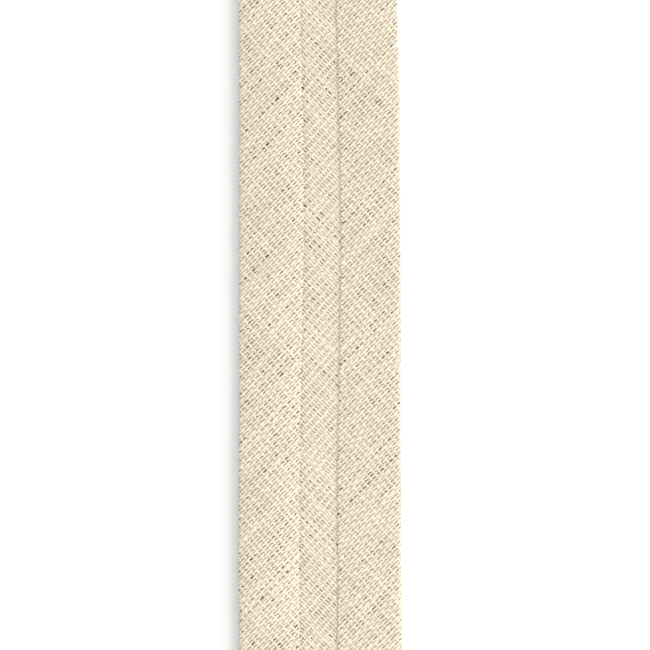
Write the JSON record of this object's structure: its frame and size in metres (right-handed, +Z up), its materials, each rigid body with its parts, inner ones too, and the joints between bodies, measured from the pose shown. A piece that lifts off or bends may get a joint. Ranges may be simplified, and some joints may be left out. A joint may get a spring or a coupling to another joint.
{
  "type": "length of bias binding",
  "caption": "Flat cut length of single-fold bias binding in cream plain-weave cotton, with both long edges folded in towards the middle.",
  "frame": {"origin": "on the surface the strip rests on, under the centre of its box", "axes": "+X across the strip, +Y along the strip, +Z up through its turned-in edges"},
  "size_m": [0.0204, 0.13, 0.0025],
  "materials": {
    "binding_cloth": "matt cream plain-weave cotton cut at 45 degrees to its threads"
  },
  "bodies": {
    "root": {"bias_binding": "binding_cloth"}
  },
  "joints": []
}
